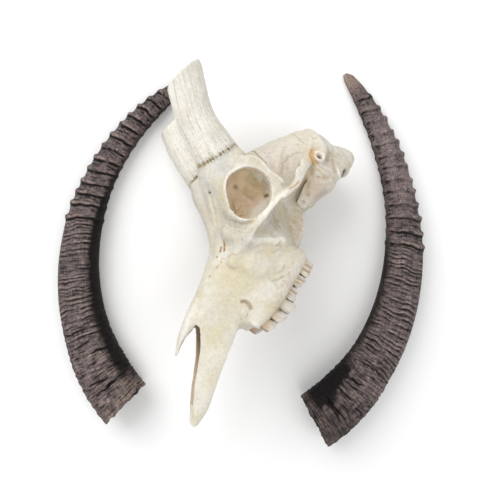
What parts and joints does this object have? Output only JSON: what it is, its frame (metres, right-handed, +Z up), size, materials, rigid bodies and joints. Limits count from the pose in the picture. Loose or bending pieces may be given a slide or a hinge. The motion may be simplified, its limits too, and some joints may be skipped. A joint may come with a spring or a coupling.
{
  "type": "roan antelope skull",
  "caption": "Bleached antelope skull resting on its side between its loose, curved and ringed horn sheaths, for display.",
  "frame": {"origin": "on the floor, under the middle of the box round the skull and its two horn sheaths", "axes": "+Z up from the floor, through the skull's left side; +Y from the muzzle tip towards the sawn horn cores, as the picture runs from bottom to top; +X towards the back of the skull and the right horn sheath"},
  "size_m": [0.508, 0.523, 0.18],
  "materials": {
    "bone": "dry bleached bone, matt, with fine pores and sutures",
    "face_bone": "smooth dry bone, yellower over the cheek, with worn cheek teeth",
    "core_bone": "dry bone with fine grooves along the core",
    "horn": "dark grey-brown horn, dull, ringed and fibrous towards the mouth"
  },
  "bodies": {
    "root": {"cranium": "bone", "maxillae": "face_bone", "nasal_left": "bone", "nasal_right": "bone", "premaxilla_left": "face_bone", "premaxilla_right": "face_bone", "zygomatic_left": "bone", "zygomatic_right": "bone", "horn_core_left": "core_bone", "horn_core_right": "core_bone", "horn_sheath_left": "horn", "horn_sheath_right": "horn"}
  },
  "joints": []
}
